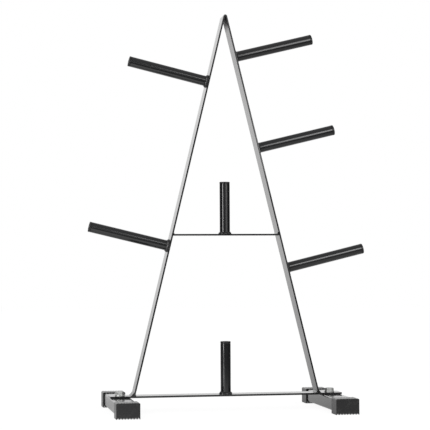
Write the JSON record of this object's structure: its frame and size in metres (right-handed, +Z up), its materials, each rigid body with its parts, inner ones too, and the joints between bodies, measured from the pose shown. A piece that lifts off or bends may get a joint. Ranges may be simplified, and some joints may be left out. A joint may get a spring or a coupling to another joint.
{
  "type": "weight plate tree",
  "caption": "Free-standing A-shaped storage rack for weight plates, with slanted tube pegs on its legs, upright posts on its crossbars, and long feet with toothed sleeve caps.",
  "frame": {"origin": "on the floor, at the middle of the bounding box in X and Y; the A-frame's own centre plane lies 6.7 mm towards -X of it, because the lowest right peg reaches further than the lowest left one", "axes": "+X to the right of someone facing the rack, where three pegs are; +Y to its back; +Z up"},
  "size_m": [0.6844, 0.366, 0.965],
  "materials": {
    "black_coat": "semi-gloss black powder coat on steel",
    "coated_weld": "rippled weld bead under the same black coat",
    "plug_plastic": "moulded black polythene with a low sheen",
    "cap_plastic": "matt charcoal moulded plastic",
    "zinc_plate": "bright zinc plating"
  },
  "bodies": {
    "root": {"a_frame_bar": "black_coat", "upper_crossbar": "black_coat", "base_bar": "black_coat", "left_upper_peg": "black_coat", "left_lower_peg": "black_coat", "right_upper_peg": "black_coat", "right_middle_peg": "black_coat", "right_lower_peg": "black_coat", "upper_post": "black_coat", "lower_post": "black_coat", "left_foot_tube": "black_coat", "right_foot_tube": "black_coat", "left_upper_peg_weld": "coated_weld", "left_lower_peg_weld": "coated_weld", "right_upper_peg_weld": "coated_weld", "right_middle_peg_weld": "coated_weld", "right_lower_peg_weld": "coated_weld", "upper_post_weld": "coated_weld", "lower_post_weld": "coated_weld", "left_leg_outer_weld": "coated_weld", "left_leg_inner_weld": "coated_weld", "right_leg_outer_weld": "coated_weld", "right_leg_inner_weld": "coated_weld", "left_crossbar_weld": "coated_weld", "right_crossbar_weld": "coated_weld", "left_upper_peg_plug": "plug_plastic", "left_lower_peg_plug": "plug_plastic", "right_upper_peg_plug": "plug_plastic", "right_middle_peg_plug": "plug_plastic", "right_lower_peg_plug": "plug_plastic", "upper_post_plug": "plug_plastic", "lower_post_plug": "plug_plastic", "left_front_foot_cap": "cap_plastic", "left_rear_foot_cap": "cap_plastic", "right_front_foot_cap": "cap_plastic", "right_rear_foot_cap": "cap_plastic", "left_foot_bolt": "zinc_plate", "right_foot_bolt": "zinc_plate", "left_foot_washer": "zinc_plate", "right_foot_washer": "zinc_plate", "left_foot_nut": "zinc_plate", "right_foot_nut": "zinc_plate"}
  },
  "joints": []
}
